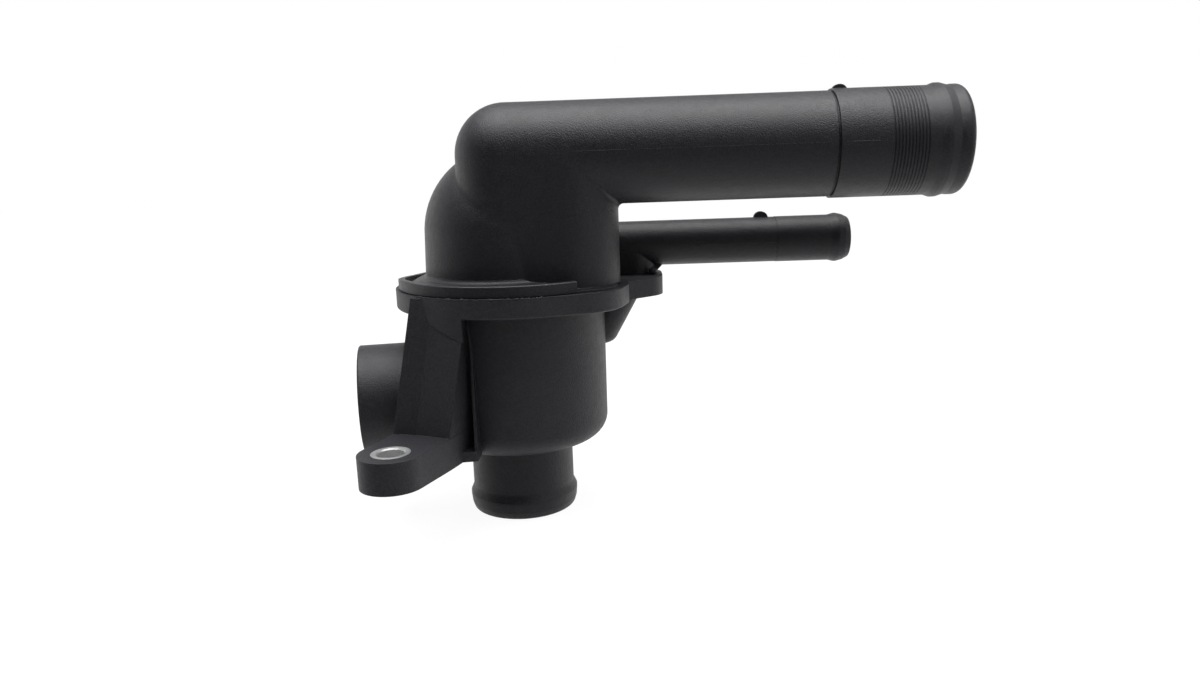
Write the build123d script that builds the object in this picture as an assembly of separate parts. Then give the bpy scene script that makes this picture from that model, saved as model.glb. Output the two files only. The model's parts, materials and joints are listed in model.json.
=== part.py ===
from build123d import *
from math import cos, radians, sin
import os

os.makedirs("parts", exist_ok=True)

# A welded plastic thermostat housing with its wax valve inside, in millimetres.
# The origin is the centre of the bottom spigot's mouth, +Z runs up the chamber's axis and +X runs
# along the outlet pipe.

# Lower housing
wall = 3.0
spigot_r = 18.75
spigot_bore_r = 15.8
spigot_bead_r = 19.9
spigot_bead_z = 5.8
spigot_bead_rise = 3.0
spigot_bead_width = 1.0
spigot_nose = 1.1
spigot_nose_end = 2.5
spigot_length = 26.5
chamber_r = 32.6
chamber_draft = 0.25
chamber_foot_round = 8.0
flange_underside = 77.3
flange_thickness = 6.7
flange_r = 43.0
flange_shift = 1.3
flange_round = 0.9
flange_corner = (21.5, -18.8)
flange_corner_r = 18.9
flange_flat = 41.5
floor_seat_height = 1.5
floor_seat_width = 3.0

# Side socket
socket_r = 19.5
socket_bore_r = 16.2
socket_reach = 56.4
socket_bore_start = 23.0
socket_z = 44.4
socket_turn = 11.5
socket_lip = 0.6

# Bolt lugs and their pillars; plan points are (x, y) of the front side, which the rear one mirrors
lug_place = (-34.0, -57.1)
lug_r = 10.5
lug_bottom = 28.9
lug_thickness = 10.4
bush_r = 6.2
bush_bore_r = 4.25
bush_chamfer = 0.45
lug_outline = [(-27.0, -16.0), (-38.2, -37.6), (-17.9, -45.0), (-12.6, -30.0), (-12.0, -20.0)]
pillar_foot = [(-27.0, -16.0), (-39.8, -39.3), (-32.0, -40.8), (-19.7, -46.3), (-12.4, -30.1), (-12.0, -20.0)]
pillar_head = [(-26.0, -16.0), (-30.3, -32.1), (-22.6, -33.5), (-10.6, -38.7), (-13.4, -29.5), (-12.0, -20.0)]
weld_step = 0.3
plate_outline = [(-16.2, -38.1), (-10.4, -37.2), (-10.4, -22.0), (-24.0, -22.0)]
plate_height = 3.4
gusset_x = [(-11.5, -10.4), (-11.9, -11.2), (-13.3, -12.8)]
gusset_y = [-37.2, -31.6, -29.4]
gusset_bend_z = 65.0
gusset_root_y = -26.0
pad_right = -12.4
pad_left = -28.0
pad_right_z = 70.0
pad_left_z = 76.9
pillar_cut_z = 66.0

# Side duct that feeds the small pipe past the valve
ear_r = 10.6
ear_x = 43.5
ear_front_y = 6.5
ear_root = (38.5, -8.6)
ear_root_r = 2.0
pocket_r = 8.5
pocket_x = 37.3
pocket_front_y = 9.0
pocket_lean = 10.3
pocket_drop = 18.3
pocket_round = 4.5
duct_bore_r = 5.5
duct_bore_inset = 0.4
pocket_bore_x = 38.0
pocket_bore_foot = 6.0
nub_r = 1.5
nub_place = (50.6, 8.0)
nub_sink = 0.3

# Upper housing
rim_r = 41.9
rim_height = 4.0
rim_back_height = 2.1
rim_width = 2.2
rim_floor = 0.8
rim_edge = 0.3
rim_start = 48.0
rim_ramp_low = 165.0
rim_ramp_high = 209.0
rim_end = 305.5
foot_r = 37.6
foot_height = 0.8
foot_inset = 2.6
ledge_r = 33.2
ledge_height = 3.1
ledge_slope = 0.3
barrel_r = 31.0
barrel_top_r = 30.4
barrel_height = 18.0
barrel_flare = 1.6
leg_r = 17.4
leg_bore_r = 14.3
leg_left = 1.5
leg_right = 21.3
leg_foot_gap = 0.7
outlet_y = -12.57
outlet_z = 128.6
outlet_waist_r = 17.35
outlet_step = 109.8
outlet_hose_r = 17.9
outlet_bead_r = 18.6
outlet_bead = 144.6
outlet_bead_rise = 3.2
outlet_bead_width = 1.4
outlet_valley = 2.8
outlet_valley_r = 17.8
outlet_nose_start = 4.2
outlet_nose_r = 18.0
outlet_nose_round = 2.3
outlet_end = 152.4
outlet_bore_r = 14.5
step_groove = 0.7
step_groove_depth = 0.5
grip_start = 126.4
grip_pitch = 1.06
grip_count = 11
grip_depth = 0.35
small_y = 15.7
small_z = 94.8
small_r = 8.3
small_bore_r = 5.7
small_step = 96.4
small_hose_r = 8.4
small_bead_r = 8.95
small_bead = 118.5
small_bead_rise = 2.6
small_bead_width = 0.8
small_nose = 1.1
small_end = 123.3
duct_x = 44.0
duct_r = 7.9
duct_throat = 2.3
fin_length = 5.2
fin_height = 2.3
fin_width = 1.8
fin_sink = 0.4
small_fin_sink = 0.2
outlet_fin = 112.8
small_fin = 91.3

# Wax valve
closing_gap = 0.3
seal_r = 33.4
seal_inner_r = 30.0
seal_lip = 0.8
seal_recess_fit = 0.3
plate_r = 32.2
plate_thickness = 1.5
seat_r = 15.2
seat_lip_drop = 1.2
seat_round = 1.0
valve_overlap = 1.1
valve_stroke = 8.0
capsule_r = 11.0
capsule_wall = 1.0
capsule_floor = 2.0
capsule_length = 20.0
capsule_round = 2.0
cap_plug = 3.0
cap_flange_r = 11.8
cap_flange_height = 2.5
cap_shoulder_r = 9.0
cap_shoulder_height = 2.6
cap_neck_r = 6.2
cap_neck_length = 10.9
piston_r = 2.4
piston_fit = 0.05
piston_point = 0.6
boot_r = 4.3
boot_fit = 0.15
boot_flange = 1.0
boot_tip = 1.5
boot_length = 12.5
strip = 1.5
strip_round = 1.0
tab = 4.0
bridge_reach = 19.5
bridge_width = 12.0
bridge_rise = 18.2
bridge_socket_r = 4.5
bridge_socket_depth = 4.5
frame_reach = 20.0
frame_width = 10.0
frame_ring_r = 15.5
frame_hole_r = 11.5
main_spring_length = 22.0
main_wire_r = 1.1
main_coil_r = 13.4
main_turns = 5.5
bypass_disc_r = 17.6
bypass_disc_thickness = 1.5
stem_r = 2.5
stem_fit = 0.1
stem_tip = 1.2
clip_r = 4.2
clip_inner_r = 2.0
clip_thickness = 0.8
clip_mouth = 2.6
bypass_wire_r = 0.6
bypass_coil_r = 8.0
bypass_turns = 3.5
spring_seat_gap = 0.1
jiggle_gap = 0.4
jiggle_angle = 45.0
jiggle_hole_r = 1.7
jiggle_pin_r = 1.0
jiggle_head_r = 2.6
jiggle_head_height = 1.0
jiggle_bob_r = 2.2
jiggle_bob_height = 3.0
jiggle_lift = 1.5

# Heights that follow
join_z = flange_underside + flange_thickness
lug_top = lug_bottom + lug_thickness
plate_underside = join_z - seal_lip - plate_thickness
plate_top = join_z - seal_lip
chamber_inner_r = chamber_r - wall
floor_z = spigot_length + wall
floor_seat_z = floor_z + floor_seat_height
recess_r = seal_r + seal_recess_fit
recess_z = plate_underside - seal_lip
valve_top = plate_underside - seat_lip_drop - closing_gap
valve_underside = valve_top - plate_thickness
capsule_top = valve_underside - cap_shoulder_height - cap_flange_height
capsule_bottom = capsule_top - capsule_length
capsule_inner_r = capsule_r - capsule_wall
boot_top = capsule_top - cap_plug
boot_bottom = boot_top - boot_length
piston_bottom = boot_bottom + boot_tip + closing_gap
piston_top = plate_top + bridge_rise
bridge_top = piston_top + strip
frame_ring_z = valve_underside - main_spring_length
bypass_disc_z = floor_seat_z + valve_stroke + closing_gap
clip_z = bypass_disc_z - closing_gap - clip_thickness
barrel_top = join_z + barrel_height
barrel_inner_r = barrel_top_r - wall
jiggle_reach = min(barrel_inner_r - jiggle_head_r, seal_inner_r - jiggle_bob_r) - jiggle_gap
leg_floor = join_z + wall


def outline(points, rounds=()):
    """A closed face through the points; rounds pairs the index of a corner with its radius."""
    face = make_face(Polyline(*points, close=True))
    for index, radius in rounds:
        corner = face.vertices().sort_by_distance(Vector(*points[index]))[0]
        face = fillet(corner, radius)
    return face


def turned(points, rounds=()):
    """A solid of revolution about Z; the points are (radius, height)."""
    return revolve(Plane.XZ * outline(points, rounds), Axis.Z)


def turned_along_x(points, rounds=()):
    """A solid of revolution about X; the points are (distance along X, radius)."""
    return revolve(Plane.XZ * outline(points, rounds), Axis.X)


def upright(radius, low, high, x=0.0, y=0.0):
    """A cylinder that stands on the height low and ends at the height high."""
    return Pos(x, y, low) * Cylinder(radius, high - low, align=(Align.CENTER, Align.CENTER, Align.MIN))


def slab(face, low, high):
    """A flat face drawn in plan, extruded from the height low to the height high."""
    return extrude(Pos(0, 0, low) * face, high - low)


def capsule_plan(radius, ends):
    """The plan shape that wraps circles of one radius round the given end points."""
    circles = [Pos(x, y) * Circle(radius) for x, y in ends]
    return make_hull([edge for circle in circles for edge in circle.edges()])


# Hose ends

def bottom_spigot_profile():
    """Outer profile of the bottom spigot from its mouth up to the chamber's foot."""
    return [
        (spigot_bore_r, 0),
        (spigot_bead_r - spigot_nose, 0),
        (spigot_bead_r - spigot_nose / 4, spigot_nose_end),
        (spigot_bead_r, spigot_bead_z - spigot_bead_width / 2),
        (spigot_bead_r, spigot_bead_z + spigot_bead_width / 2),
        (spigot_r, spigot_bead_z + spigot_bead_rise),
        (spigot_r, spigot_length),
    ]


def outlet_profile():
    """Profile of the outlet pipe from its round closed end to its nose."""
    points = [
        (leg_left, 0),
        (leg_left, leg_r),
        (outlet_step - step_groove, outlet_waist_r),
        (outlet_step - step_groove, outlet_waist_r - step_groove_depth),
        (outlet_step, outlet_waist_r - step_groove_depth),
        (outlet_step, outlet_hose_r),
    ]
    for groove in range(grip_count):
        start = grip_start + groove * grip_pitch
        points += [
            (start, outlet_hose_r),
            (start + grip_pitch / 4, outlet_hose_r - grip_depth),
            (start + grip_pitch / 2, outlet_hose_r),
        ]
    points += [
        (outlet_bead - outlet_bead_rise, outlet_hose_r),
        (outlet_bead - outlet_bead_width, outlet_bead_r),
        (outlet_bead, outlet_bead_r),
        (outlet_bead + outlet_valley, outlet_valley_r),
        (outlet_bead + outlet_nose_start, outlet_nose_r),
        (outlet_end, outlet_nose_r),
        (outlet_end, 0),
    ]
    return points


def small_pipe_profile(start):
    """Profile of the small pipe from the given place on its axis to its nose."""
    return [
        (start, 0),
        (start, small_r),
        (small_step, small_r),
        (small_step + small_bead_width / 2, small_hose_r),
        (small_bead - small_bead_rise, small_hose_r),
        (small_bead - small_bead_width / 2, small_bead_r),
        (small_bead + small_bead_width / 2, small_bead_r),
        (small_bead + small_bead_rise, small_hose_r),
        (small_end, small_hose_r - small_nose),
        (small_end, 0),
    ]


def fin(x, y, z):
    """Small round-topped locating fin that stands on a pipe's crown."""
    body = extrude(Plane.XZ * Ellipse(fin_length / 2, fin_height), fin_width / 2, both=True)
    return Pos(x, y, z) * body


# Lower housing

def wrapped_corner(radius, shift, corner_r):
    """Plan that wraps a circle on the X axis and the flange's full front corner."""
    circle = Pos(shift, 0) * Circle(radius)
    return make_hull(circle.edges() + (Pos(*flange_corner) * Circle(corner_r)).edges())


def flange():
    """Weld flange: round, with a full corner in front and a flat beside the ear."""
    side = 4 * flange_r
    kept = Pos(flange_flat, 0) * Rectangle(side, side, align=(Align.MAX, Align.CENTER))
    plate = slab(wrapped_corner(flange_r, flange_shift, flange_corner_r) & kept, flange_underside, join_z)
    return fillet(plate.edges().group_by(Axis.Z)[0], flange_round)


def pillar_section(points, z):
    """Plan of the pillar's foot or head at the height z."""
    return Pos(0, 0, z) * outline(points)


def pillar():
    """Leaning pillar that joins the lug to the flange."""
    foot = pillar_section(pillar_foot, lug_bottom)
    head = pillar_section(pillar_head, join_z - weld_step)
    post = loft([foot, head], ruled=True)
    side = Pos(pad_right, 0, pillar_cut_z) * Box(
        chamber_r, 2 * flange_r, join_z, align=(Align.MIN, Align.MAX, Align.MIN)
    )
    return post - side


def pillar_core():
    """Pocket that hollows the pillar and opens below the lug."""
    sections = [
        offset(pillar_section(points, z), -wall, kind=Kind.INTERSECTION)
        for points, z in ((pillar_foot, lug_bottom - 1), (pillar_head, flange_underside - wall))
    ]
    return loft(sections, ruled=True) - upright(chamber_r, 0, join_z)


def flange_pad():
    """Part of the flange's rim that runs down in front of the pillar's head to a slanting edge."""
    top = flange_underside + 1
    front = outline([(pad_left, pad_left_z), (pad_right, pad_right_z), (pad_right, top), (pad_left, top)])
    block = extrude(Plane.XZ * front, flange_r + wall)
    skin = upright(flange_r, pad_right_z, join_z, flange_shift)
    skin -= upright(flange_r - wall, 0, join_z, flange_shift)
    return block & skin


def gusset():
    """Thin leaning rib beside the pillar's recess."""
    heights = [lug_bottom, gusset_bend_z, flange_underside + 1]
    sections = [
        Pos(0, 0, z) * outline([(left, gusset_root_y), (left, front), (right, front), (right, gusset_root_y)])
        for (left, right), front, z in zip(gusset_x, gusset_y, heights)
    ]
    return loft(sections[:2], ruled=True) + loft(sections[1:], ruled=True)


def lug_side(mirrored):
    """One bolt lug with its pillar, recess plate, gusset and flange pad."""
    foot = make_hull((Pos(*lug_place) * Circle(lug_r)).edges() + outline(lug_outline).edges())
    solid = slab(foot, lug_bottom, lug_top) + pillar()
    solid += slab(outline(plate_outline), lug_bottom, lug_bottom + plate_height)
    solid += gusset()
    solid += flange_pad()
    solid -= pillar_core()
    return mirror(solid, Plane.XZ) if mirrored else solid


def bush_centre(mirrored):
    """Centre of a lug's bolt in plan."""
    x, y = lug_place
    return (x, -y) if mirrored else (x, y)


def socket_frame():
    """Plane whose z axis points out of the side socket."""
    turn = radians(180 + socket_turn)
    return Plane(origin=(0, 0, socket_z), x_dir=(0, 0, 1), z_dir=(cos(turn), sin(turn), 0))


def side_duct():
    """Ear of the flange and the leaning pocket below it, outside and bore."""
    ear = slab(
        make_hull(
            (Pos(ear_x, ear_front_y) * Circle(ear_r)).edges()
            + (Pos(ear_x, small_y) * Circle(ear_r)).edges()
            + (Pos(*ear_root) * Circle(ear_root_r)).edges()
            + (Pos(ear_root[0] - ear_r, small_y) * Circle(ear_r)).edges()
        ),
        flange_underside,
        join_z,
    )
    top = capsule_plan(pocket_r, [(pocket_x, pocket_front_y), (pocket_x, small_y)])
    low = flange_underside - pocket_drop
    foot = Pos(-pocket_lean, 0, low) * top
    pocket = loft([foot, Pos(0, 0, flange_underside) * top], ruled=True)
    pocket = fillet(pocket.edges().group_by(Axis.Z)[0], pocket_round)
    bend = Pos(pocket_bore_x, small_y, flange_underside) * Circle(duct_bore_r)
    mouth = Pos(duct_x - duct_bore_inset, small_y, join_z + 1) * Circle(duct_bore_r)
    inlet = Pos(pocket_bore_x - pocket_lean, pocket_front_y + wall, low + pocket_bore_foot) * Circle(duct_bore_r)
    bore = loft([bend, mouth], ruled=True) + loft([inlet, bend], ruled=True)
    nub = Pos(*nub_place, join_z + nub_r - nub_sink) * Sphere(nub_r)
    return ear + pocket + nub, bore


def lower_housing():
    spigot = turned(
        bottom_spigot_profile() + [(spigot_bore_r, spigot_length)],
        [(1, 1.4), (2, 3.0), (5, 2.0)],
    )
    shell = turned(
        [
            (spigot_bore_r, spigot_length),
            (chamber_r - chamber_draft, spigot_length),
            (chamber_r, join_z),
            (spigot_bore_r, join_z),
        ],
        [(1, chamber_foot_round)],
    )
    socket = Cylinder(socket_r, socket_reach, align=(Align.CENTER, Align.CENTER, Align.MIN))
    socket = socket_frame().location * fillet(socket.edges().group_by(Axis.Z)[-1], socket_lip)
    ear, duct_bore = side_duct()
    body = spigot + shell + flange() + socket + ear
    for mirrored in (False, True):
        body += lug_side(mirrored)
    inside = turned(
        [
            (0, floor_z),
            (chamber_inner_r - 2 * chamber_draft, floor_z),
            (chamber_inner_r, recess_z),
            (recess_r, recess_z),
            (recess_r, join_z + 1),
            (0, join_z + 1),
        ],
        [(1, chamber_foot_round - wall)],
    )
    seat = upright(spigot_bore_r + floor_seat_width, floor_z, floor_seat_z)
    body -= inside - seat
    body -= upright(spigot_bore_r, -1, floor_seat_z + 1)
    body -= socket_frame().location * Pos(0, 0, socket_bore_start) * Cylinder(
        socket_bore_r, socket_reach, align=(Align.CENTER, Align.CENTER, Align.MIN)
    )
    body -= duct_bore
    for mirrored in (False, True):
        x, y = bush_centre(mirrored)
        body -= upright(bush_r, lug_bottom - 1, lug_top + 1, x, y)
    return body


def bush(mirrored):
    """Compression sleeve with chamfered bore ends, as long as its lug is thick."""
    x, y = bush_centre(mirrored)
    sleeve = turned([
        (bush_bore_r, bush_chamfer),
        (bush_bore_r + bush_chamfer, 0),
        (bush_r, 0),
        (bush_r, lug_thickness),
        (bush_bore_r + bush_chamfer, lug_thickness),
        (bush_bore_r, lug_thickness - bush_chamfer),
    ])
    return Pos(x, y, lug_bottom) * sleeve


# Upper housing

def sector(first, last):
    """A tall wedge about the Z axis between two bearings in degrees."""
    reach = 3 * flange_r
    middle = (first + last) / 2
    corners = [(reach * cos(radians(turn)), reach * sin(radians(turn))) for turn in (first, middle, last)]
    return slab(outline([(0, 0)] + corners), 0, outlet_z)


def rim():
    """Raised weld rim round the barrel, high in front and lower behind, with a ramp between."""
    top = join_z + rim_height
    low = join_z + rim_back_height
    ring = upright(rim_r, join_z, top, flange_shift)
    ring = chamfer(ring.edges().group_by(Axis.Z)[-1], rim_edge)
    ring = chamfer(ring.edges().group_by(Axis.Z)[0], rim_edge)
    ring -= upright(rim_r - rim_width, join_z + rim_floor, top, flange_shift)
    back = ring & upright(flange_r, join_z, low, flange_shift)
    turns = [radians(rim_ramp_high), radians(rim_ramp_low)]
    crest, foot = [
        Vector(rim_r * cos(turn), rim_r * sin(turn), z) for turn, z in zip(turns, (top, low))
    ]
    radial = Vector(cos(turns[0]), sin(turns[0]), 0)
    slope = Plane(origin=crest, x_dir=radial, z_dir=(foot - crest).cross(radial))
    ramp = split(ring & sector(rim_ramp_low, rim_ramp_high), slope, Keep.BOTTOM)
    return ring & sector(rim_ramp_high, rim_end), ramp, back & sector(rim_start, rim_ramp_low)


def upper_housing():
    ledge = join_z + ledge_height
    barrel = turned(
        [
            (0, join_z),
            (foot_r, join_z),
            (foot_r, join_z + foot_height),
            (ledge_r, ledge),
            (barrel_r, ledge + ledge_slope),
            (barrel_top_r, barrel_top),
            (0, barrel_top),
        ],
        [(4, barrel_flare)],
    )
    foot = slab(wrapped_corner(foot_r, 0, flange_corner_r - foot_inset), join_z, join_z + foot_height)
    dome = Pos(0, 0, barrel_top) * Sphere(
        barrel_top_r, 0, 90, align=(Align.CENTER, Align.CENTER, Align.MIN)
    )
    leg_plan = capsule_plan(leg_r, [(leg_left, outlet_y), (leg_right, outlet_y)])
    leg = slab(leg_plan, join_z, outlet_z)
    leg = chamfer(leg.edges().group_by(Axis.Z)[0], leg_foot_gap)
    pipe = turned_along_x(outlet_profile(), [(len(outlet_profile()) - 2, outlet_nose_round)])
    pipe = Pos(0, outlet_y, outlet_z) * (pipe + Pos(leg_left, 0, 0) * Sphere(leg_r))
    small = Pos(0, small_y, small_z) * turned_along_x(small_pipe_profile(duct_x - small_r * 2), [(8, 0.9)])
    duct = slab(capsule_plan(duct_r, [(duct_x, small_y), (duct_x - 2 * small_r, small_y)]), join_z, small_z)
    throat = duct_x + duct_r
    web = outline([
        (throat - 1, small_z - small_r + 1),
        (throat - 1, small_z - small_r - duct_throat),
        (throat, small_z - small_r - duct_throat),
        (throat + duct_throat, small_z - small_r),
        (throat + duct_throat, small_z - small_r + 1),
    ])
    web = Pos(0, small_y, 0) * extrude(Plane.XZ * web, duct_throat, both=True)
    body = barrel + foot + dome + leg + pipe + small + duct + web
    for piece in rim():
        body += piece
    body += fin(outlet_fin, outlet_y, outlet_z + outlet_waist_r - fin_sink)
    body += fin(small_fin, small_y, small_z + small_r - small_fin_sink)
    inner_leg = capsule_plan(leg_bore_r, [(leg_left, outlet_y), (leg_right, outlet_y)])
    hollow = upright(barrel_inner_r, join_z - 1, barrel_top)
    hollow += Pos(0, 0, barrel_top) * Sphere(barrel_inner_r)
    hollow += slab(inner_leg, leg_floor, outlet_z)
    bore = Pos(leg_left, outlet_y, outlet_z) * Rot(0, 90, 0) * Cylinder(
        outlet_bore_r, outlet_end - leg_left + 1, align=(Align.CENTER, Align.CENTER, Align.MIN)
    )
    hollow += bore + Pos(leg_left, outlet_y, outlet_z) * Sphere(outlet_bore_r)
    small_bore = Pos(duct_x - duct_bore_r, small_y, small_z) * Rot(0, 90, 0) * Cylinder(
        small_bore_r, small_end, align=(Align.CENTER, Align.CENTER, Align.MIN)
    )
    duct_bore = upright(duct_bore_r, join_z - 1, small_z, duct_x - duct_bore_inset, small_y)
    return body - hollow - small_bore - duct_bore


# Wax valve

def plate_seal():
    """U-section ring that wraps the rim of the plate."""
    ring = upright(seal_r, recess_z, join_z) - upright(seal_inner_r, recess_z, join_z)
    return ring - upright(plate_r, plate_underside, plate_top)


def jiggle_place():
    """Centre of the vent pin in plan."""
    return jiggle_reach * cos(radians(jiggle_angle)), jiggle_reach * sin(radians(jiggle_angle))


def valve_plate():
    """Pressed plate whose hole is lipped down to make the valve's seat."""
    plate = turned(
        [
            (seat_r, plate_underside - seat_lip_drop),
            (seat_r + plate_thickness, plate_underside - seat_lip_drop),
            (seat_r + plate_thickness, plate_underside),
            (plate_r, plate_underside),
            (plate_r, plate_top),
            (seat_r, plate_top),
        ],
        [(5, seat_round)],
    )
    return plate - upright(jiggle_hole_r, recess_z, join_z, *jiggle_place())


def main_valve():
    """Disc that closes on the plate's lip."""
    return upright(seat_r + plate_thickness + valve_overlap, valve_underside, valve_top) - upright(
        cap_neck_r, valve_underside, valve_top
    )


def capsule():
    """Cup that holds the wax."""
    return turned(
        [
            (0, capsule_bottom),
            (capsule_r, capsule_bottom),
            (capsule_r, capsule_top),
            (capsule_inner_r, capsule_top),
            (capsule_inner_r, capsule_bottom + capsule_floor),
            (0, capsule_bottom + capsule_floor),
        ],
        [(1, capsule_round)],
    )


def capsule_cap():
    """Guide crimped into the cup, which carries the disc and the piston."""
    bore = piston_r + piston_fit
    shoulder_z = capsule_top + cap_flange_height
    return turned([
        (bore, boot_top),
        (capsule_inner_r, boot_top),
        (capsule_inner_r, capsule_top),
        (cap_flange_r, capsule_top),
        (cap_flange_r, shoulder_z),
        (cap_shoulder_r, shoulder_z),
        (cap_shoulder_r, valve_underside),
        (cap_neck_r, valve_underside),
        (cap_neck_r, valve_underside + cap_neck_length),
        (bore, valve_underside + cap_neck_length),
    ])


def rubber_boot():
    """Sleeve that keeps the wax off the piston."""
    bore = piston_r + boot_fit
    return turned([
        (0, boot_bottom),
        (boot_r, boot_bottom),
        (boot_r, boot_top - boot_flange),
        (capsule_inner_r, boot_top - boot_flange),
        (capsule_inner_r, boot_top),
        (bore, boot_top),
        (bore, boot_bottom + boot_tip),
        (0, boot_bottom + boot_tip),
    ])


def wax_charge():
    """Wax that fills the cup round the sleeve."""
    return turned([
        (0, capsule_bottom + capsule_floor),
        (capsule_inner_r, capsule_bottom + capsule_floor),
        (capsule_inner_r, boot_top - boot_flange),
        (boot_r, boot_top - boot_flange),
        (boot_r, boot_bottom),
        (0, boot_bottom),
    ])


def piston():
    """Pin that stands on the bridge and reaches down into the sleeve."""
    pin = upright(piston_r, piston_bottom, piston_top)
    return chamfer(pin.edges().group_by(Axis.Z)[0], piston_point)


def bent_strip(reach, low, high, tab_z, width):
    """Strip bent to a hat whose legs stand at the reach and whose tabs turn out at tab_z."""
    near, far = (low, low + strip) if tab_z > low else (high, high - strip)
    tab_far = tab_z - strip if tab_z > low else tab_z + strip
    half = [
        (reach + strip, near),
        (reach + strip, tab_far),
        (reach + strip + tab, tab_far),
        (reach + strip + tab, tab_z),
        (reach, tab_z),
        (reach, far),
    ]
    points = half + [(-x, z) for x, z in reversed(half)]
    face = outline(points, [(0, strip + strip_round), (5, strip_round), (6, strip_round), (11, strip + strip_round)])
    return extrude(Plane.XZ * face, width / 2, both=True)


def upper_bridge():
    """Bridge over the plate with the socket for the piston's tip."""
    body = bent_strip(bridge_reach, plate_top, bridge_top, plate_top, bridge_width)
    body += upright(bridge_socket_r, piston_top - bridge_socket_depth, piston_top)
    return body - upright(piston_r + piston_fit, piston_top - bridge_socket_depth, piston_top)


def spring_frame():
    """Frame under the plate whose ring carries the main spring."""
    low = frame_ring_z - strip
    body = Rot(0, 0, 90) * bent_strip(frame_reach, low, plate_underside, plate_underside, frame_width)
    body += upright(frame_ring_r, low, frame_ring_z)
    return body - upright(frame_hole_r, low, frame_ring_z)


def coil(turns, wire_r, coil_r, low, high):
    """Round wire wound up from one height to the other."""
    rise = high - low
    path = Helix(rise / turns, rise, coil_r)
    return Pos(0, 0, low) * sweep((path ^ 0) * Circle(wire_r), path=path, is_frenet=True)


def main_spring():
    inset = main_wire_r + spring_seat_gap
    return coil(main_turns, main_wire_r, main_coil_r, frame_ring_z + inset, valve_underside - inset)


def bypass_spring():
    inset = bypass_wire_r + spring_seat_gap
    return coil(
        bypass_turns,
        bypass_wire_r,
        bypass_coil_r,
        bypass_disc_z + bypass_disc_thickness + inset,
        capsule_bottom - inset,
    )


def bypass_stem():
    """Pin under the cup with a groove for the clip."""
    stem = upright(stem_r, clip_z - stem_tip, capsule_bottom)
    groove = upright(stem_r, clip_z, clip_z + clip_thickness) - upright(clip_inner_r, clip_z, clip_z + clip_thickness)
    return stem - groove


def bypass_clip():
    """Snap ring, open at one side, in the stem's groove."""
    ring = upright(clip_r, clip_z, clip_z + clip_thickness) - upright(clip_inner_r, clip_z, clip_z + clip_thickness)
    mouth = Pos(0, 0, clip_z) * Box(clip_r, clip_mouth, clip_thickness, align=(Align.MIN, Align.CENTER, Align.MIN))
    return ring - mouth


def bypass_disc():
    """Disc that closes the bypass seat in the chamber's floor."""
    top = bypass_disc_z + bypass_disc_thickness
    return upright(bypass_disc_r, bypass_disc_z, top) - upright(stem_r + stem_fit, bypass_disc_z, top)


def jiggle_pin():
    """Loose vent pin, headed above the plate and with a bob below it."""
    head = plate_top + closing_gap
    bob = plate_underside - jiggle_lift - closing_gap
    pin = turned(
        [
            (0, bob - jiggle_bob_height),
            (jiggle_bob_r, bob - jiggle_bob_height),
            (jiggle_bob_r, bob),
            (jiggle_pin_r, bob),
            (jiggle_pin_r, head),
            (jiggle_head_r, head),
            (jiggle_head_r, head + jiggle_head_height),
            (0, head + jiggle_head_height),
        ],
        [(1, jiggle_bob_r / 2), (6, jiggle_head_height / 2)],
    )
    return Pos(*jiggle_place(), 0) * pin


pieces = {
    "lower_housing": lower_housing(),
    "upper_housing": upper_housing(),
    "front_bush": bush(False),
    "rear_bush": bush(True),
    "plate_seal": plate_seal(),
    "valve_plate": valve_plate(),
    "upper_bridge": upper_bridge(),
    "spring_frame": spring_frame(),
    "main_valve": main_valve(),
    "capsule": capsule(),
    "capsule_cap": capsule_cap(),
    "rubber_boot": rubber_boot(),
    "wax_charge": wax_charge(),
    "piston": piston(),
    "main_spring": main_spring(),
    "bypass_stem": bypass_stem(),
    "bypass_clip": bypass_clip(),
    "bypass_disc": bypass_disc(),
    "bypass_spring": bypass_spring(),
    "jiggle_pin": jiggle_pin(),
}
for name, piece in pieces.items():
    export_step(piece, f"parts/{name}.step")
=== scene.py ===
"""Looks of a plastic thermostat housing: its studio, its materials and its small moulded details."""
import json
import math
import random

import bmesh
import bpy
from mathutils import Matrix, Vector


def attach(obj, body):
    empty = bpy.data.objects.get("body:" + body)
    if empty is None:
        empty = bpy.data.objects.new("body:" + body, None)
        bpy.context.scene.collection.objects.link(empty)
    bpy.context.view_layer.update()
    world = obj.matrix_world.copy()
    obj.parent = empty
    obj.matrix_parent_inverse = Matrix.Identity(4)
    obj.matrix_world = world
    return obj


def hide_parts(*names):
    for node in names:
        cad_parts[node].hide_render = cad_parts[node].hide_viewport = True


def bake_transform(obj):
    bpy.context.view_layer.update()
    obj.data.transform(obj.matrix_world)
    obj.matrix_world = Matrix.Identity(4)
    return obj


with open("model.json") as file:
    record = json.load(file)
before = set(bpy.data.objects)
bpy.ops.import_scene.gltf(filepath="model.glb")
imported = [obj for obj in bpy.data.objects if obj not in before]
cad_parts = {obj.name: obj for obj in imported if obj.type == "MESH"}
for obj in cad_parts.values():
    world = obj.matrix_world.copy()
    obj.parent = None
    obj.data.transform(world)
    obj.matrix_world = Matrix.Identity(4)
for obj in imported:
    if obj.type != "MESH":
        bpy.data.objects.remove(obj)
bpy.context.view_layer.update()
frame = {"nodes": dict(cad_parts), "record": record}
nodes = frame["nodes"]
mounts = {mount["name"]: mount["pos_m"] for mount in frame["record"]["mounts"]}
MM = 0.001
WHITE = (1, 1, 1, 1)

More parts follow.
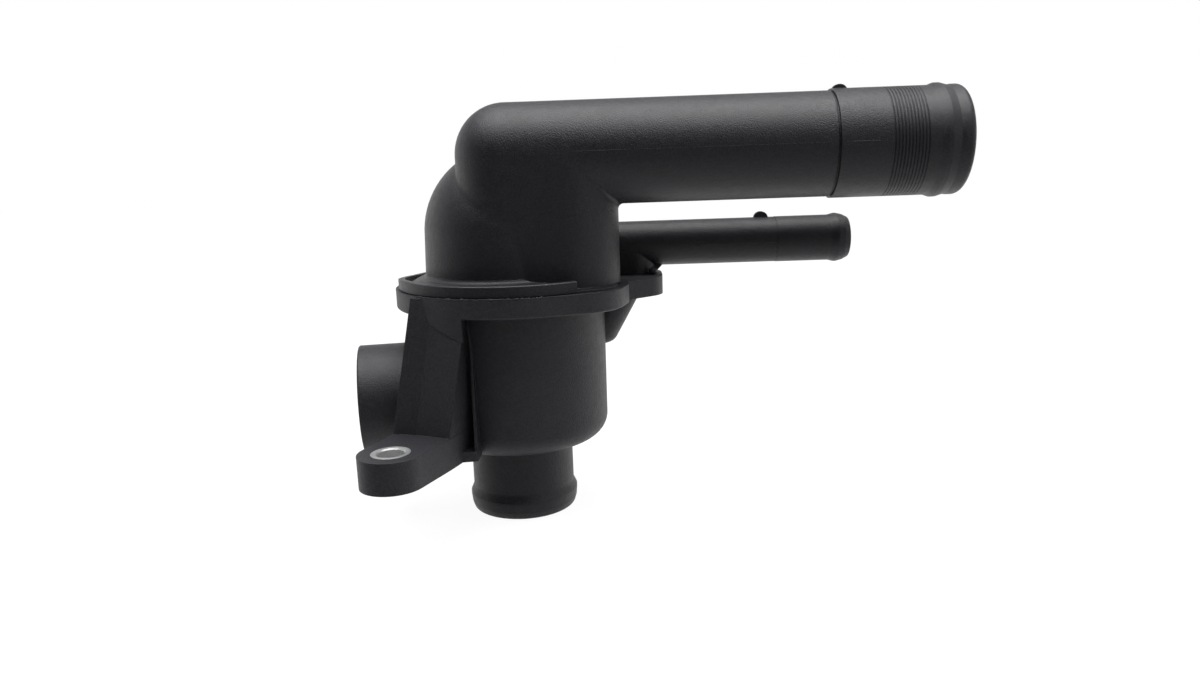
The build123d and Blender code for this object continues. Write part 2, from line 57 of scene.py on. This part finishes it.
# Sizes of the part that the added details follow, in millimetres.
# Outlet pipe, and its wider nose with the grip ribs
PIPE_Y, PIPE_Z = [place / MM for place in mounts["outlet_pipe"][1:]]
PIPE_R, PIPE_START, STEP_X = 17.37, 24.5, 109.1
NOSE_R, NOSE_START, NOSE_END = PIPE_R + 0.53, STEP_X + 0.7, 126.0
# Small pipe
SMALL_Y, SMALL_Z = [place / MM for place in mounts["small_pipe"][1:]]
SMALL_R, SMALL_START, SMALL_STEP, SMALL_BEAD = 8.3, 53.5, 96.4, 115.9
SMALL_LINE_R = SMALL_R + 0.05
# Leg, a slot in plan, and the dome and barrel beside it
LEG_R, LEG_LEFT, LEG_RIGHT = 17.4, 1.5, 21.3
DOME_R, DOME_Z, BARREL_R, BARREL_FOOT_Z = 30.4, 102.0, 30.98, 84.9
# Flange's two arcs in plan, each as its centre's X and Y and its radius
FLANGE_ARCS, JOIN_Z = [(1.3, 0.0, 43.0), (21.5, -18.8, 18.9)], 84.0

# Camera, at the photograph's viewing angle
CAMERA_AT = (0.03974, -0.31848, 0.12640)
PAN, PITCH, ROLL = math.radians(1.659), math.radians(11.405), math.radians(2.026)
LENS, SENSOR, CLIP_START = 26.651, 36.0, 0.01


def add_camera():
    level = Vector((math.cos(PAN), math.sin(PAN), 0))
    across, deep = math.sin(PAN), math.cos(PAN)
    ahead = Vector((-math.cos(PITCH) * across, math.cos(PITCH) * deep, -math.sin(PITCH)))
    upright = level.cross(ahead)
    side = level * math.cos(ROLL) - upright * math.sin(ROLL)
    up = level * math.sin(ROLL) + upright * math.cos(ROLL)
    data = bpy.data.cameras.new("camera")
    data.sensor_width = SENSOR
    data.lens = LENS
    data.clip_start = CLIP_START
    camera = bpy.data.objects.new("camera", data)
    turn = Matrix((side, up, -ahead)).transposed().to_4x4()
    camera.matrix_world = Matrix.Translation(CAMERA_AT) @ turn
    bpy.context.scene.collection.objects.link(camera)
    bpy.context.scene.camera = camera


# Node trees

# Range that most values of a noise texture fall in
NOISE_LOW, NOISE_HIGH = 0.3, 0.7
BEVEL_SAMPLES = 6


class Graph:
    """Node tree of a material or the world, with short calls for its nodes."""

    def __init__(self, owner):
        self.owner = owner
        owner.use_nodes = True
        self.nodes, self.links = owner.node_tree.nodes, owner.node_tree.links
        self.nodes.clear()

    def feed(self, socket, value):
        """Links an output of another node to the socket, or sets a plain value."""
        if isinstance(value, bpy.types.NodeSocket):
            self.links.new(value, socket)
        else:
            socket.default_value = value

    def add(self, kind, inputs=None):
        """Outputs of a new node whose inputs are fed by name or index."""
        node = self.nodes.new(kind)
        for name, value in (inputs or {}).items():
            self.feed(node.inputs[name], value)
        return node.outputs

    def math(self, operation, first, second):
        node = self.nodes.new("ShaderNodeMath")
        node.operation = operation
        self.feed(node.inputs[0], first)
        self.feed(node.inputs[1], second)
        return node.outputs[0]

    def stretched(self, place, scale):
        return self.add("ShaderNodeMapping", {"Vector": place, "Scale": scale})["Vector"]

    def noise(self, place, scale, detail, roughness=0.6):
        inputs = {"Vector": place, "Scale": scale, "Detail": detail, "Roughness": roughness}
        return self.add("ShaderNodeTexNoise", inputs)["Fac"]

    def spread(self, value, low, high, from_low=NOISE_LOW, from_high=NOISE_HIGH):
        inputs = {
            "Value": value, "From Min": from_low, "From Max": from_high, "To Min": low, "To Max": high,
        }
        return self.add("ShaderNodeMapRange", inputs)["Result"]

    def ramp(self, value, stops):
        """Colour that follows a value through (position, colour) stops."""
        node = self.nodes.new("ShaderNodeValToRGB")
        elements = node.color_ramp.elements
        while len(elements) < len(stops):
            elements.new(0.5)
        for element, (position, color) in zip(elements, stops):
            element.position = position
            element.color = (*color, 1)
        self.feed(node.inputs["Fac"], value)
        return node.outputs["Color"]

    def graded(self, value, stops):
        """Grey level that follows a value through (value, level) stops of any range."""
        low, high = stops[0][0], stops[-1][0]
        greys = [((stop - low) / (high - low), (level,) * 3) for stop, level in stops]
        return self.ramp(self.spread(value, 0.0, 1.0, low, high), greys)

    def bumps(self, steps, edge):
        """Chain of bumps on an edge rounding; each step is (height, strength, distance in metres)."""
        normal = None
        if edge:
            bevel = self.nodes.new("ShaderNodeBevel")
            bevel.samples = BEVEL_SAMPLES
            self.feed(bevel.inputs["Radius"], edge)
            normal = bevel.outputs["Normal"]
        for height, strength, distance in steps:
            inputs = {"Height": height, "Strength": strength, "Distance": distance}
            if normal:
                inputs["Normal"] = normal
            normal = self.add("ShaderNodeBump", inputs)["Normal"]
        return normal

    def mix(self, share, first, second):
        return self.add("ShaderNodeMixShader", {"Fac": share, 1: first, 2: second})["Shader"]


# Materials

IOR = 1.5
# Nylon: scales of its textures, per metre, and heights of its bumps, in metres
GRAIN_SCALE, GRAIN_HEIGHT = 2900.0, 0.00014
WAVE_SCALE, WAVE_HEIGHT, WAVE_STRENGTH = 420.0, 0.00012, 0.35
FLOW_SCALE, FLOW_SHARE = (18.0, 55.0, 30.0), 0.4
SPECKLE_SCALE, SPECKLE_SHARE, SPECKLE_RANGE = 1500.0, 0.6, (0.35, 0.65)
# Metal and rubber
CLOUD_SCALE, STREAK_HEIGHT, STREAK_STRENGTH = 160.0, 0.00003, 0.25
RUBBER_SCALE, RUBBER_HEIGHT, RUBBER_STRENGTH, RUBBER_ROUGH = 300.0, 0.00008, 0.4, (0.6, 0.8)
# Rounding of edges in the shading, in metres
MOULDED_EDGE, CUT_EDGE, RUBBER_EDGE = 0.00035, 0.0002, 0.0003


def finished(graph, color, rough, normal, metallic=0.0, specular=0.5):
    """Material whose values are joined in one shader."""
    shader = graph.add("ShaderNodeBsdfPrincipled", {
        "Base Color": color,
        "Roughness": rough,
        "Normal": normal,
        "Metallic": metallic,
        "Specular IOR Level": specular,
        "IOR": IOR,
    })
    graph.add("ShaderNodeOutputMaterial", {"Surface": shader["BSDF"]})
    return graph.owner


def nylon(name, dark, light, rough, edge=MOULDED_EDGE):
    """Black glass-filled nylon: fine grain, speckles, a slight flow pattern and moulded edges."""
    graph = Graph(bpy.data.materials.new(name))
    place = graph.add("ShaderNodeTexCoord")["Object"]
    grain = graph.noise(place, GRAIN_SCALE, detail=1.0)
    waves = graph.noise(place, WAVE_SCALE, detail=5.0, roughness=0.65)
    flow = graph.noise(graph.stretched(place, FLOW_SCALE), 1.0, detail=6.0, roughness=0.7)
    points = graph.noise(place, SPECKLE_SCALE, detail=1.0)
    speckles = graph.spread(points, 0.0, SPECKLE_SHARE, *SPECKLE_RANGE)
    mottle = graph.math("ADD", graph.math("MULTIPLY", flow, FLOW_SHARE), speckles)
    color = graph.ramp(mottle, [(NOISE_LOW, dark), (NOISE_HIGH, light)])
    normal = graph.bumps([(waves, WAVE_STRENGTH, WAVE_HEIGHT), (grain, 1.0, GRAIN_HEIGHT)], edge)
    return finished(graph, color, graph.spread(waves, *rough), normal, specular=0.8)


def metal(name, dark, light, rough, scale=(400.0, 400.0, 6000.0), metallic=1.0):
    """Bare metal with a fine directional grain."""
    graph = Graph(bpy.data.materials.new(name))
    place = graph.add("ShaderNodeTexCoord")["Object"]
    streaks = graph.noise(graph.stretched(place, scale), 1.0, detail=3.0)
    cloud = graph.noise(place, CLOUD_SCALE, detail=5.0)
    color = graph.ramp(cloud, [(NOISE_LOW, dark), (NOISE_HIGH, light)])
    normal = graph.bumps([(streaks, STREAK_STRENGTH, STREAK_HEIGHT)], CUT_EDGE)
    return finished(graph, color, graph.spread(cloud, *rough), normal, metallic=metallic)


def rubber(name, dark, light):
    """Matt moulded rubber or wax with a soft mottle."""
    graph = Graph(bpy.data.materials.new(name))
    place = graph.add("ShaderNodeTexCoord")["Object"]
    mottle = graph.noise(place, RUBBER_SCALE, detail=6.0)
    color = graph.ramp(mottle, [(NOISE_LOW, dark), (NOISE_HIGH, light)])
    normal = graph.bumps([(mottle, RUBBER_STRENGTH, RUBBER_HEIGHT)], RUBBER_EDGE)
    return finished(graph, color, graph.spread(mottle, *RUBBER_ROUGH), normal, specular=0.3)


# Stage

WORLD_LIGHT = 0.45
FLOOR_TONE, FLOOR_REACH = 0.85, 3.0
# Strength of the floor's own white, and the share of it that the camera sees
GLOW, GLOW_SHARE = 1.16, 0.8
LIGHT_AT, LIGHT_SIZE, LIGHT_DEPTH, LIGHT_POWER = (0.05, -0.04, 0.72), 1.0, 0.66, 6.9
# Levels of the studio in reflections, by the direction's Y and Z: the camera's side and the ceiling
# are dark, the backdrop and the floor are white; a soft panel stands at the right, by X and Z
BACKDROP = [(-0.50, 0.0), (-0.14, 0.26), (0.17, 0.62), (0.60, 1.0)]
CEILING = [(0.20, 1.0), (0.65, 0.25)]
GROUND = [(-1.0, 0.50), (-0.95, 0.46), (-0.79, 0.38), (-0.56, 0.27), (-0.26, 0.14), (-0.10, 0.0)]
PANEL = [(0.30, 0.0), (0.50, 0.30), (0.90, 0.34), (1.0, 0.30)]
PANEL_FOOT = [(-0.42, 0.2), (-0.12, 1.0)]


def add_world():
    """White to the camera and through glass, the studio's levels in reflections, and plain light."""
    world = bpy.data.worlds.new("studio")
    bpy.context.scene.world = world
    graph = Graph(world)
    ray = graph.add("ShaderNodeLightPath")
    toward = graph.add("ShaderNodeTexCoord")["Generated"]
    direction = graph.add("ShaderNodeSeparateXYZ", {0: toward})
    x, y, z = direction["X"], direction["Y"], direction["Z"]
    back = graph.math("MULTIPLY", graph.graded(y, BACKDROP), graph.graded(z, CEILING))
    panel = graph.math("MULTIPLY", graph.graded(x, PANEL), graph.graded(z, PANEL_FOOT))
    level = graph.math("MAXIMUM", graph.math("MAXIMUM", back, panel), graph.graded(z, GROUND))
    light = graph.add("ShaderNodeBackground", {"Color": WHITE, "Strength": WORLD_LIGHT})["Background"]
    reflected = graph.add("ShaderNodeBackground", {"Color": level})["Background"]
    seen = graph.add("ShaderNodeBackground", {"Color": WHITE})["Background"]
    unseen = graph.mix(ray["Is Glossy Ray"], light, reflected)
    shown = graph.math("MAXIMUM", ray["Is Camera Ray"], ray["Is Transmission Ray"])
    graph.add("ShaderNodeOutputWorld", {"Surface": graph.mix(shown, unseen, seen)})


def floor_material():
    """White floor that glows to the camera and keeps a faint shadow."""
    graph = Graph(bpy.data.materials.new("studio_floor"))
    tone = (FLOOR_TONE, FLOOR_TONE, FLOOR_TONE, 1)
    diffuse = graph.add("ShaderNodeBsdfDiffuse", {"Color": tone})["BSDF"]
    glow = graph.add("ShaderNodeEmission", {"Color": WHITE, "Strength": GLOW})["Emission"]
    ray = graph.add("ShaderNodeLightPath")
    shown = graph.math("MULTIPLY", ray["Is Camera Ray"], GLOW_SHARE)
    graph.add("ShaderNodeOutputMaterial", {"Surface": graph.mix(shown, diffuse, glow)})
    return graph.owner


def add_floor():
    reach = FLOOR_REACH
    mesh = bpy.data.meshes.new("studio_floor")
    corners = [(-reach, -reach, 0), (reach, -reach, 0), (reach, reach, 0), (-reach, reach, 0)]
    mesh.from_pydata(corners, [], [(0, 1, 2, 3)])
    mesh.materials.append(floor_material())
    floor = bpy.data.objects.new("studio_floor", mesh)
    bpy.context.scene.collection.objects.link(floor)
    floor.visible_glossy = False


def add_light():
    """Soft light overhead that shines straight down."""
    data = bpy.data.lights.new("overhead", "AREA")
    data.shape = "RECTANGLE"
    data.size = LIGHT_SIZE
    data.size_y = LIGHT_DEPTH
    data.energy = LIGHT_POWER
    light = bpy.data.objects.new("overhead", data)
    light.location = LIGHT_AT
    bpy.context.scene.collection.objects.link(light)


# Added details, in millimetres and degrees

# Parting lines: spacing of their points, how deep they sit, and their usual and extra radius
LINE_SPACING, LINE_SINK, LINE_R, LINE_WEAR = 0.9, 0.05, 0.055, 0.03
STEP_LINE_R, STEP_LINE_POINTS = 0.10, 60
# Fillet between the leg and the pipe: ball at its ends, what its middle adds, and how far it turns
# to either side
PIPE_BALL, PIPE_BALL_GROWTH, PIPE_FILLET_REACH = 0.15, 1.7, 66
# Fillet between the leg and the dome: smallest ball, what the front adds, and the bearings that it
# runs between; the ball grows from GROW_FROM of that way on
DOME_BALL, FRONT_BALL, DOME_FILLET_START, DOME_FILLET_END = 0.6, 14.0, 140, 270
GROW_FROM, GROW_LEAST, GROW_POWER = 0.30, 0.07, 1.5
# Steps across a fillet, and how deep its hidden side sits
FILLET_STEPS, FILLET_SINK = 16, 0.3
# Weld flash: first bearing, spacing and number of its points, its seed, the shares of its wave that
# last from point to point and that are new, and how it sits, wanders and swells
FLASH_START, FLASH_SPACING, FLASH_POINTS = 226.0, 0.7, 150
FLASH_SEED, FLASH_LASTING, FLASH_NEW = 11, 0.7, 0.3
FLASH_SINK, FLASH_WANDER, FLASH_LIFT, FLASH_JITTER = 0.10, 0.25, 0.04, 0.14
FLASH_R, FLASH_LUMPS = 0.10, 0.26


def new_piece(name, mesh, material, body="housing"):
    mesh.materials.append(material)
    piece = bpy.data.objects.new(name, mesh)
    bpy.context.scene.collection.objects.link(piece)
    for polygon in mesh.polygons:
        polygon.use_smooth = True
    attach(piece, body)


def skin(name, rings, material, sharp=()):
    """Closed piece over rings of points; the edges along the corners in sharp aren't smoothed."""
    mesh = bpy.data.meshes.new(name)
    shape = bmesh.new()
    rings = [[shape.verts.new(point * MM) for point in ring] for ring in rings]
    count = len(rings[0])
    for here, there in zip(rings, rings[1:]):
        for side in range(count):
            following = (side + 1) % count
            shape.faces.new((here[side], here[following], there[following], there[side]))
        for side in sharp:
            shape.edges.get((here[side], there[side])).smooth = False
    shape.faces.new(rings[0])
    shape.faces.new(rings[-1])
    bmesh.ops.recalc_face_normals(shape, faces=shape.faces)
    shape.to_mesh(mesh)
    shape.free()
    new_piece(name, mesh, material)


def ridge(name, path, radii, material, sides=8):
    """Thin closed ridge along a path of points, with a radius at each point."""
    rings = []
    for index, point in enumerate(path):
        before = path[max(index - 1, 0)]
        after = path[min(index + 1, len(path) - 1)]
        ahead = (Vector(after) - Vector(before)).normalized()
        across = ahead.orthogonal().normalized()
        second = ahead.cross(across)
        ring = []
        for side in range(sides):
            turn = 2 * math.pi * side / sides
            offset = (across * math.cos(turn) + second * math.sin(turn)) * radii[index]
            ring.append(Vector(point) + offset)
        rings.append(ring)
    skin(name, rings, material)


def parting_line(name, first, last, axis, radius, rise, worn, seed, material):
    """Mould line on a pipe's front, raised from its axis, with a worn (start, end, radius) stretch."""
    chance = random.Random(seed)
    axis_y, axis_z = axis
    worn_start, worn_end, worn_r = worn
    path, radii = [], []
    x = first
    while x < last:
        y = axis_y - math.sqrt(radius ** 2 - rise ** 2) + LINE_SINK
        path.append((x, y, axis_z + rise))
        proud = worn_r if worn_start <= x <= worn_end else LINE_R
        radii.append(proud + LINE_WEAR * chance.random())
        x += LINE_SPACING
    ridge(name, path, radii, material)


def add_parting_lines(material):
    parting_line(
        "pipe_parting_line", PIPE_START, STEP_X, (PIPE_Y, PIPE_Z), PIPE_R,
        rise=0.4, worn=(PIPE_START, 40.0, 0.09), seed=3, material=material,
    )
    parting_line(
        "nose_parting_line", NOSE_START, NOSE_END, (PIPE_Y, PIPE_Z), NOSE_R,
        rise=0.4, worn=(113.0, 122.0, 0.12), seed=5, material=material,
    )
    parting_line(
        "small_pipe_parting_line", SMALL_START, SMALL_BEAD, (SMALL_Y, SMALL_Z), SMALL_LINE_R,
        rise=-0.5, worn=(70.0, 96.0, 0.10), seed=7, material=material,
    )


def add_small_step_line(material):
    """Faint raised ring where the small pipe's mould inserts met."""
    path = []
    for step in range(STEP_LINE_POINTS + 1):
        turn = 2 * math.pi * step / STEP_LINE_POINTS
        y, z = SMALL_Y + SMALL_R * math.cos(turn), SMALL_Z + SMALL_R * math.sin(turn)
        path.append((SMALL_STEP, y, z))
    ridge("small_pipe_step_line", path, [STEP_LINE_R] * len(path), material)


def rolled_fillet(name, stations, material):
    """Closed concave fillet between two surfaces.

    Each station is (ball centre, contact on the first surface, contact on the second).
    """
    rings = []
    for station in stations:
        centre, first, second = [Vector(point) for point in station]
        size = (first - centre).length
        one, other = (first - centre) / size, (second - centre) / size
        middle = (one + other).normalized()
        ring = []
        for step in range(FILLET_STEPS + 1):
            share = step / FILLET_STEPS
            ring.append(centre + (one * (1 - share) + other * share).normalized() * size)
        ring.append(second + other * FILLET_SINK)
        ring.append(centre + middle * (size / middle.dot(one) + FILLET_SINK))
        ring.append(first + one * FILLET_SINK)
        rings.append(ring)
    skin(name, rings, material, sharp=(0, FILLET_STEPS))


def add_pipe_fillet(material):
    """Fillet between the leg's right end and the pipe's underside, finer toward its ends."""
    stations = []
    count = 48
    for index in range(count + 1):
        bearing = math.radians(PIPE_FILLET_REACH * (2 * index / count - 1))
        ball = PIPE_BALL + PIPE_BALL_GROWTH * math.sin(math.pi * index / count)
        reach = LEG_R + ball
        away, aside = reach * math.cos(bearing), reach * math.sin(bearing)
        part = LEG_R / reach
        stations.append((
            (LEG_RIGHT + away, PIPE_Y + aside, PIPE_Z - away),
            (LEG_RIGHT + away * part, PIPE_Y + aside * part, PIPE_Z - away),
            (LEG_RIGHT + away, PIPE_Y + aside * part, PIPE_Z - away * part),
        ))
    rolled_fillet("pipe_fillet", stations, material)


def add_dome_fillet(material):
    """Fillet round the leg on the dome, along its flat front and down to the barrel's foot."""
    stations = []
    round_steps, flat_steps, barrel_steps = 44, 10, 8
    for step in range(round_steps + 1):
        share = step / round_steps
        bearing = math.radians(DOME_FILLET_START + (DOME_FILLET_END - DOME_FILLET_START) * share)
        growth = max(GROW_LEAST, (share - GROW_FROM) / (1 - GROW_FROM)) ** GROW_POWER
        ball = FRONT_BALL * growth + DOME_BALL
        reach = LEG_R + ball
        x, y = LEG_LEFT + reach * math.cos(bearing), PIPE_Y + reach * math.sin(bearing)
        z = math.sqrt((DOME_R + ball) ** 2 - x * x - y * y)
        part, low = LEG_R / reach, DOME_R / (DOME_R + ball)
        stations.append((
            (x, y, DOME_Z + z),
            (LEG_LEFT + (x - LEG_LEFT) * part, PIPE_Y + (y - PIPE_Y) * part, DOME_Z + z),
            (x * low, y * low, DOME_Z + z * low),
        ))
    front = PIPE_Y - LEG_R
    ball = FRONT_BALL + DOME_BALL
    y = front - ball
    low = DOME_R / (DOME_R + ball)
    swing = math.sqrt((DOME_R + ball) ** 2 - y * y)
    begin = math.acos(LEG_LEFT / swing)
    for step in range(1, flat_steps + 1):
        turn = begin * (1 - step / flat_steps)
        x, z = swing * math.cos(turn), swing * math.sin(turn)
        contact = (x * low, y * low, DOME_Z + z * low)
        stations.append(((x, y, DOME_Z + z), (x, front, DOME_Z + z), contact))
    for step in range(1, barrel_steps + 1):
        z = DOME_Z - (DOME_Z - BARREL_FOOT_Z) * step / barrel_steps
        around = DOME_R + (BARREL_R - DOME_R) * step / barrel_steps
        x = math.sqrt((around + ball) ** 2 - y * y)
        low = around / (around + ball)
        stations.append(((x, y, z), (x, front, z), (x * low, y * low, z)))
    rolled_fillet("dome_fillet", stations, material)


def add_weld_flash(material):
    """Ragged lip of weld flash round the front of the join."""
    chance = random.Random(FLASH_SEED)
    path, radii = [], []
    wave = 0.0
    for step in range(FLASH_POINTS):
        turn = math.radians(FLASH_START + FLASH_SPACING * step)
        wave = FLASH_LASTING * wave + FLASH_NEW * (chance.random() - 0.5)
        along, side = math.cos(turn), math.sin(turn)
        reaches = [(x * along + y * side + radius, x, y, radius) for x, y, radius in FLANGE_ARCS]
        centre_x, centre_y, radius = max(reaches)[1:]
        lean = FLASH_WANDER * wave - FLASH_SINK
        x, y = centre_x + radius * along, centre_y + radius * side
        z = JOIN_Z + FLASH_LIFT + FLASH_JITTER * (chance.random() - 0.5)
        path.append((x + lean * along, y + lean * side, z))
        radii.append(FLASH_R + FLASH_LUMPS * chance.random() ** 2)
    ridge("weld_flash", path, radii, material, sides=7)


def add_working_spring(node):
    """Copy of a CAD spring, in its place, shown while the CAD spring itself is hidden."""
    piece = bpy.data.objects.new("working_" + node, nodes[node].data.copy())
    bpy.context.scene.collection.objects.link(piece)
    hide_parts(node)
    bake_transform(piece)


add_camera()
add_world()
add_floor()
add_light()

plastic_lower = nylon("nylon_lower", (0.0080, 0.0083, 0.0132), (0.0148, 0.0153, 0.0214), (0.46, 0.56))
upper_black = (0.0040, 0.0042, 0.0082), (0.0078, 0.0082, 0.0134), (0.40, 0.50)
plastic_upper = nylon("nylon_upper", *upper_black)
# A fillet's borders would show if its own edges were rounded
plastic_fillet = nylon("nylon_fillet", *upper_black, edge=0.0)
bush_metal = metal("bush_metal", (0.42, 0.43, 0.44), (0.60, 0.60, 0.60), (0.30, 0.45), metallic=0.55)
plate_steel = metal(
    "plate_steel", (0.50, 0.50, 0.49), (0.64, 0.64, 0.62), (0.25, 0.40), (300.0, 5000.0, 300.0),
)
valve_brass = metal("valve_brass", (0.55, 0.38, 0.15), (0.72, 0.53, 0.24), (0.20, 0.36))
pin_steel = metal("pin_steel", (0.60, 0.60, 0.60), (0.75, 0.75, 0.74), (0.14, 0.24))
spring_steel = metal(
    "spring_steel", (0.36, 0.36, 0.36), (0.50, 0.50, 0.49), (0.25, 0.38), (900.0, 900.0, 900.0),
)
seal_rubber = rubber("seal_rubber", (0.010, 0.010, 0.010), (0.022, 0.022, 0.022))
wax = rubber("wax", (0.50, 0.36, 0.20), (0.66, 0.50, 0.30))
material_of = {
    "lower_housing": plastic_lower,
    "upper_housing": plastic_upper,
    "front_bush": bush_metal,
    "rear_bush": bush_metal,
    "plate_seal": seal_rubber,
    "valve_plate": plate_steel,
    "upper_bridge": plate_steel,
    "spring_frame": plate_steel,
    "main_valve": valve_brass,
    "capsule": valve_brass,
    "capsule_cap": valve_brass,
    "rubber_boot": seal_rubber,
    "wax_charge": wax,
    "piston": pin_steel,
    "main_spring": spring_steel,
    "bypass_stem": pin_steel,
    "bypass_clip": spring_steel,
    "bypass_disc": plate_steel,
    "bypass_spring": spring_steel,
    "jiggle_pin": pin_steel,
}
for node, material in material_of.items():
    nodes[node].data.materials.clear()
    nodes[node].data.materials.append(material)

add_parting_lines(plastic_upper)
add_small_step_line(plastic_upper)
add_pipe_fillet(plastic_fillet)
add_dome_fillet(plastic_fillet)
add_weld_flash(plastic_lower)
add_working_spring("main_spring")
add_working_spring("bypass_spring")

bpy.context.scene.view_settings.view_transform = "Standard"
